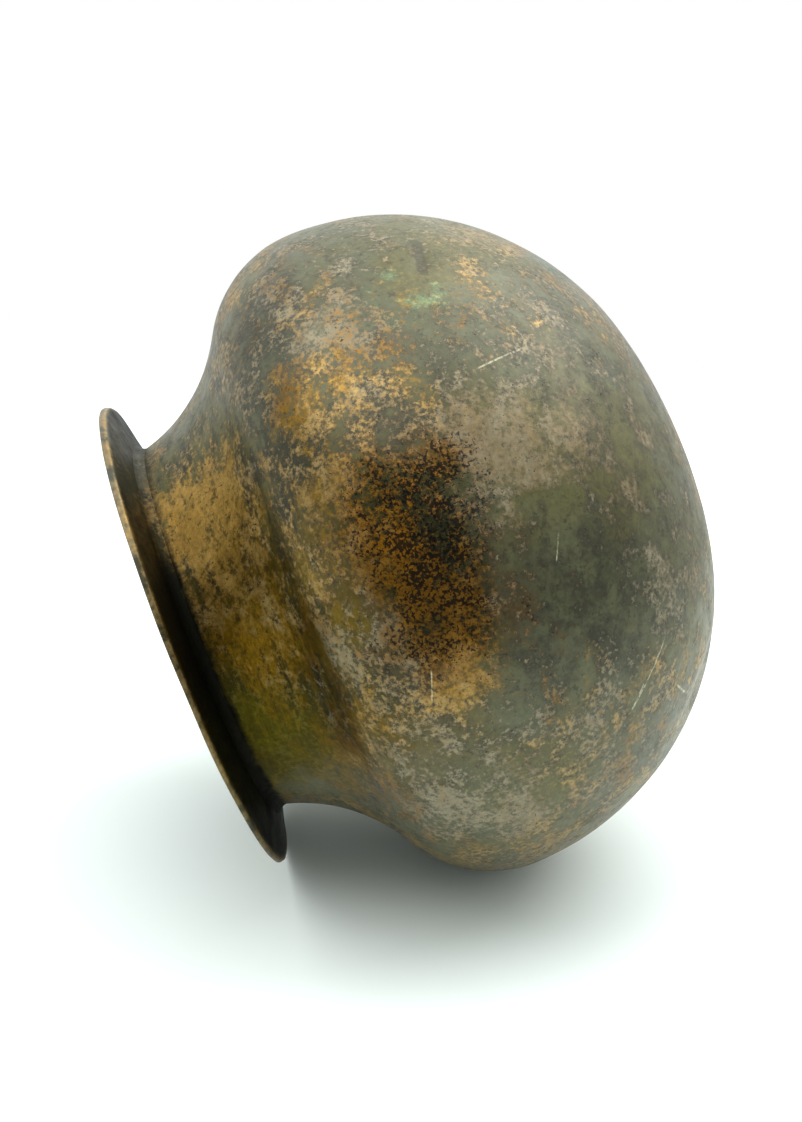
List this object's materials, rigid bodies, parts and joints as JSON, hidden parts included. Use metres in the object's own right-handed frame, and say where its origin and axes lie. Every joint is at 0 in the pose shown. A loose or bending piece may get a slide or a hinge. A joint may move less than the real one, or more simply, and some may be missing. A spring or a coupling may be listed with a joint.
{
  "type": "cooking pot",
  "caption": "Round-bellied brass cooking pot with a narrow hollow-curved neck and a wide flat rim, made of beaten shells lapped and brazed together.",
  "frame": {"origin": "centre of the small flat that the pot stands on, at the lowest point of the pot", "axes": "+Z is the axis of the pot, from the foot out of the mouth; the pot is round, so X and Y are any two directions across it"},
  "size_m": [0.24, 0.24, 0.1858],
  "materials": {
    "base_brass": "dark olive patina, semi-gloss, soot and scratches",
    "shoulder_brass": "mottled ochre and slate patina with a burnt crust",
    "neck_brass": "golden ochre patina, darker in the throat",
    "rim_brass": "dark underside with a worn, paler edge",
    "brazing_metal": "dressed flush, lightly tarnished"
  },
  "bodies": {
    "root": {"base_bowl": "base_brass", "shoulder_shell": "shoulder_brass", "neck_collar": "neck_brass", "rim_flange": "rim_brass", "belly_braze": "brazing_metal", "neck_braze": "brazing_metal", "rim_braze": "brazing_metal"}
  },
  "joints": []
}
